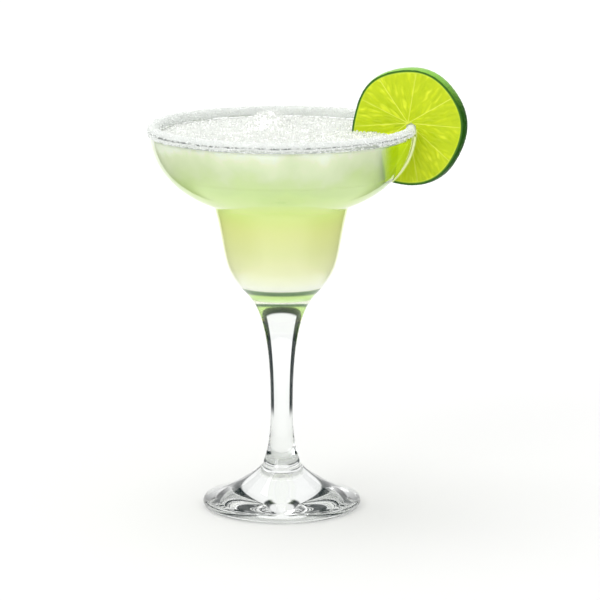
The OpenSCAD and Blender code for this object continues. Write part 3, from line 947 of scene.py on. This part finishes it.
# %% Shape of the fruit
LIME_D, LIME_T, LIME_CUT, LIME_TURN = 51.0, 6.1, 4.7, math.radians(19)
LIME_AT = Vector((RIM_R - LIP_R - 1.0, 0, GLASS_H - 0.7))
LIME_WAVES = [(2, 0.018, 106), (3, 0.008, -78), (4, 0.014, 126), (5, 0.011, -16), (6, 0.005, 63)]
CORE = Vector((0.6, 2.1))
SKINS = [-2.4, 30.6, 81, 125.5, 156, 186, 217, 249, 280, 320]
PEEL = 1.3
LIME_STEPS, LIME_RINGS = 400, 52
right = Vector((math.cos(LIME_TURN), -math.sin(LIME_TURN), 0))
front = Vector((-math.sin(LIME_TURN), -math.cos(LIME_TURN), 0))


def lime_outline(degrees):
    return 1 + sum(share * cosd(k * degrees - phase) for k, share, phase in LIME_WAVES)


def lime_edge(degrees, depth, shrink=0.0):
    """Point of the fruit's outline at a depth behind the front cut."""
    r = lime_outline(degrees) * math.sqrt((LIME_D / 2) ** 2 - (LIME_CUT - depth) ** 2) - shrink
    return Vector((r * cosd(degrees), r * sind(degrees)))


def flesh_at(p, edge_distance, side):
    """Relief in mm, and the shares of skin, sac edge and sac shade, at a point of a cut face."""
    q = p - CORE
    r = q.length
    angle = math.degrees(math.atan2(q.y, q.x)) % 360
    after = sorted((skin - angle) % 360 for skin in SKINS)[0]
    before = sorted((angle - skin) % 360 for skin in SKINS)[0]
    middle = angle + (after - before) / 2
    away = r * math.sin(math.radians(min(after, before, 90)))
    web = max(0.0, 1 - away / 0.32) ** 1.5
    core = max(0.0, 1 - r / 1.5)
    rim = max(0.0, 1 - abs(edge_distance - PEEL) / 0.45)
    web = max(web, core, 0.4 * rim)
    across, ahead = r * sind(angle - middle), r * cosd(angle - middle)
    bend = 0.7 * noise.noise(Vector((q.x * 0.3, q.y * 0.3, side)))
    sac = Vector((0.17 * ahead, 0.62 * (across + bend), 5 * round(middle) + 9 * side))
    distances, seeds = noise.voronoi(sac)
    gap = min(1.0, (distances[1] - distances[0]) * 2.2)
    tone = 0.5 + noise.noise(Vector((q.x * 0.5, q.y * 0.5, 4.0)))
    shade = 0.65 * noise.cell(seeds[0] * 7.31) + 0.35 * tone
    height = 0.20 * gap * (1 - web) + 0.12 * web
    return height, web, gap, min(max(shade, 0.0), 1.0)


# %% Both faces and the rim between them
bm = bmesh.new()
LAYERS = ("peel", "web", "sac", "shade", "slit", "drowned")
layers = {name: bm.verts.layers.float.new(name) for name in LAYERS}
SLIT_LIGHT = 0.7


def add_vertex(p, depth, values):
    """A point of the fruit with its values, and how near the slit and how deep in the drink it is."""
    place = LIME_AT + right * p.x + Vector((0, 0, 1)) * p.y + front * (LIME_T / 2 - depth)
    v = bm.verts.new(place * MM)
    for name, value in values.items():
        v[layers[name]] = value
    wall = radius_at(outer_bowl, place.z)
    # The slit share is the mask of a painted highlight and painted glow along the slit's edges.
    beside = abs(place.xy.length - wall - SLIT_LIGHT) / SLIT_LIGHT
    v[layers["slit"]] = max(0.0, 1.3 - beside) if place.z < GLASS_H - 1 else 0.0
    # The drowned share raises the painted glow of the part in the drink.
    drowned = place.z < ICE_Z + 0.5 and place.xy.length < wall - BOWL_WALL / 2
    v[layers["drowned"]] = 1.0 if drowned else 0.0
    return v


def face_rings(side, depth):
    """Rings of a cut face from the core out to its bevelled edge."""
    rings = []
    for k in range(1, LIME_RINGS + 1):
        share = 1 - (1 - k / LIME_RINGS) ** 1.12
        ring = []
        for i in range(LIME_STEPS):
            degrees = 360 * i / LIME_STEPS
            edge = lime_edge(degrees, depth, 0.3)
            p = CORE + share * (edge - CORE)
            edge_distance = (edge - p).length + 0.3
            if edge_distance < PEEL:
                peel = 1 - edge_distance / PEEL
                height, web, gap, shade = 0.06 * noise.noise(Vector((p.x, p.y, side))), 0.0, 1.0, 0.5
            else:
                peel = 0.0
                height, web, gap, shade = flesh_at(p, edge_distance, side)
            sunk = (-0.22 + height) if peel == 0 else -0.04 + height
            d = depth - side * sunk
            ring.append(add_vertex(p, d, {"peel": peel, "web": web, "sac": gap, "shade": shade}))
        rings.append(ring)
    return rings


rings = list(reversed(face_rings(1, 0.0)))
hub_front = add_vertex(CORE, 0.1, {"peel": 0.0, "web": 1.0, "sac": 1.0, "shade": 0.5})
rim_rings = []
for k in range(15):
    depth = 0.12 + (LIME_T - 0.24) * k / 14
    shrink = 0.1 if k in (0, 14) else 0.0
    ring = []
    for i in range(LIME_STEPS):
        degrees = 360 * i / LIME_STEPS
        p = lime_edge(degrees, depth)
        dent = 0.10 * noise.noise(Vector((p.x * 0.9, p.y * 0.9, depth * 0.9))) - 0.1
        p = lime_edge(degrees, depth, shrink - dent)
        ring.append(add_vertex(p, depth, {"peel": 1.0, "web": 0.0, "sac": 1.0, "shade": 0.5}))
    rim_rings.append(ring)
back_rings = face_rings(-1, LIME_T)
hub_back = add_vertex(CORE, LIME_T - 0.1, {"peel": 0.0, "web": 1.0, "sac": 1.0, "shade": 0.5})
stack = list(reversed(rings)) + rim_rings + list(reversed(back_rings))
for a, b in zip(stack, stack[1:]):
    for i in range(LIME_STEPS):
        j = (i + 1) % LIME_STEPS
        bm.faces.new((a[i], a[j], b[j], b[i]))
for i in range(LIME_STEPS):
    j = (i + 1) % LIME_STEPS
    bm.faces.new((hub_front, stack[0][j], stack[0][i]))
    bm.faces.new((hub_back, stack[-1][i], stack[-1][j]))
lime_mesh = bpy.data.meshes.new("lime_wheel_slice")
bm.to_mesh(lime_mesh)
bm.free()
for polygon in lime_mesh.polygons:
    polygon.use_smooth = True
lime = bpy.data.objects.new("lime_wheel_slice", lime_mesh)
scene.collection.objects.link(lime)
print("lime", len(lime_mesh.polygons), "faces,", outward(lime_mesh))

# %% [markdown]
# ## Lime finish
# Light comes through the wet flesh, so it gets scattering under the surface. Its colour goes from
# a deep yellow green inside the sacs to a paler one at the skins, and towards the peel to white
# green and dark green. The peel's outside is waxy, with small pits, and painted lighter where it
# faces up, as painted light from above.
# The whole wheel has a faint painted glow of its own colour. The slit's edges are painted pale, as a
# painted highlight, with more painted glow, and the part inside the glass has a stronger painted glow,
# standing in for the light that reaches it from the whole drink around it.

# %% Lime colours
FLESH_STOPS = [(0.0, srgb(168, 188, 2)), (0.45, srgb(188, 203, 8)), (1.0, srgb(208, 218, 48))]
SAC_EDGE, SKIN_PALE, SLIT_PAINTED_HIGHLIGHT = srgb(176, 194, 6), srgb(210, 218, 84), srgb(236, 243, 186)
PEEL_STOPS = [(0.0, srgb(196, 212, 70)), (0.12, srgb(150, 180, 44)), (0.3, srgb(62, 112, 14)),
              (0.7, srgb(32, 80, 6)), (1.0, srgb(30, 76, 5))]
PEEL_PAINTED_TOP_LIGHT = srgb(116, 172, 48)
# LIME_GLOW, SLIT_GLOW and DROWNED_GLOW are a painted glow, emission of the lime's own colour.
LIME_GLOW, SLIT_GLOW, DROWNED_GLOW = 0.23, 0.2, 0.75

lime_finish, shader = new_finish("lime_slice", Roughness=0.35, Specular_IOR_Level=0.3,
                                 Subsurface_Weight=0.4, Subsurface_Radius=(1.0, 1.0, 0.25),
                                 Subsurface_Scale=0.004)
tree = lime_finish.node_tree
flesh = ramp(tree, attribute(tree, "shade"), FLESH_STOPS)
flesh = mixed(tree, rest_of(tree, attribute(tree, "sac")), flesh, SAC_EDGE)
flesh = mixed(tree, attribute(tree, "web"), flesh, SKIN_PALE)
peel = ramp(tree, attribute(tree, "peel"), PEEL_STOPS)
up = axes(tree, tree.nodes.new("ShaderNodeNewGeometry").outputs["Normal"])[2]
# Painted top light: the peel is painted a lighter green where it faces up.
peel = mixed(tree, step_up(tree, up, 0.3, 0.95), peel, PEEL_PAINTED_TOP_LIGHT)
lime_colour = mixed(tree, step_up(tree, attribute(tree, "peel"), 0.0, 0.06), flesh, peel)
# Painted highlight: the colour goes pale along the slit's edges.
lime_colour = mixed(tree, attribute(tree, "slit"), lime_colour, SLIT_PAINTED_HIGHLIGHT)
tree.links.new(lime_colour, shader.inputs["Base Color"])
tree.links.new(lime_colour, shader.inputs["Emission Color"])
glow = wire(tree, "ADD", times(tree, attribute(tree, "drowned"), DROWNED_GLOW),
            times(tree, attribute(tree, "slit"), SLIT_GLOW))
tree.links.new(wire(tree, "ADD", glow, LIME_GLOW), shader.inputs["Emission Strength"])
lime_mesh.materials.append(lime_finish)

# %% Pits in the peel
pits = tree.nodes.new("ShaderNodeTexVoronoi")
pits.inputs["Scale"].default_value = 900.0
tree.links.new(on_piece(tree), pits.inputs["Vector"])
bump = tree.nodes.new("ShaderNodeBump")
bump.inputs["Distance"].default_value = 0.0002
bump.inputs["Strength"].default_value = 0.5
on_peel = step_up(tree, attribute(tree, "peel"), 0.9, 1.0)
tree.links.new(times(tree, pits.outputs["Distance"], on_peel), bump.inputs["Height"])
tree.links.new(bump.outputs["Normal"], shader.inputs["Normal"])
print("lime finish:", len(tree.nodes), "nodes")

# %% Slit over the lip
SLIT_GAP, SLIT_POINT = 0.25, 1.0
salt_most = 0.6 * SALT_T
out_r, in_r = RIM_R + salt_most + SLIT_GAP, RIM_R - BOWL_WALL - salt_most - SLIT_GAP
slit_low = GLASS_H - SALT_SKIRT * (1 + SALT_WANDER) - SLIT_GAP
slit_inner_low = GLASS_H - SALT_INNER - SLIT_GAP
over_lip = [Vector((in_r, GLASS_H + 0.4 * SALT_T)),
            Vector((RIM_R - LIP_R, GLASS_H + salt_most + SLIT_POINT)),
            Vector((out_r, GLASS_H + 0.4 * SALT_T)), Vector((out_r, slit_low)),
            Vector((radius_at(outer_bowl, slit_low) + SLIT_GAP, slit_low))]
down_outside = [p + Vector((SLIT_GAP, -SLIT_GAP / 2)) for p in outer_bowl[::3] if p.y < slit_low - 0.1]
under_lime = [Vector((WAIST_R, WAIST_Z - BOWL_WALL)), Vector((WAIST_R, WAIST_Z + BOWL_WALL))]
up_inside = [p + Vector((-SLIT_GAP, SLIT_GAP / 2)) for p in reversed(inner_bowl[::3])
             if p.y < slit_inner_low - 0.1]
back_in = [Vector((radius_at(inner_wall, slit_inner_low) - SLIT_GAP, slit_inner_low)),
           Vector((in_r, slit_inner_low))]
slit_outline = over_lip + down_outside + under_lime + up_inside + back_in
slit_outline.append(slit_outline[0])
cutter = turned("slit_cutter", slit_outline, lime_finish, 240)
cut = lime.modifiers.new("slit", "BOOLEAN")
cut.operation = "DIFFERENCE"
cut.solver = "EXACT"
cut.object = cutter
graph = bpy.context.evaluated_depsgraph_get()
slit_mesh = bpy.data.meshes.new_from_object(lime.evaluated_get(graph))
lime.modifiers.remove(cut)
lime.data = slit_mesh
slit_mesh.name = "lime_wheel_slice"
bpy.data.objects.remove(cutter)
print("slit lime:", len(slit_mesh.polygons), "faces")
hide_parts("lime_wheel")
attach(lime, "root")
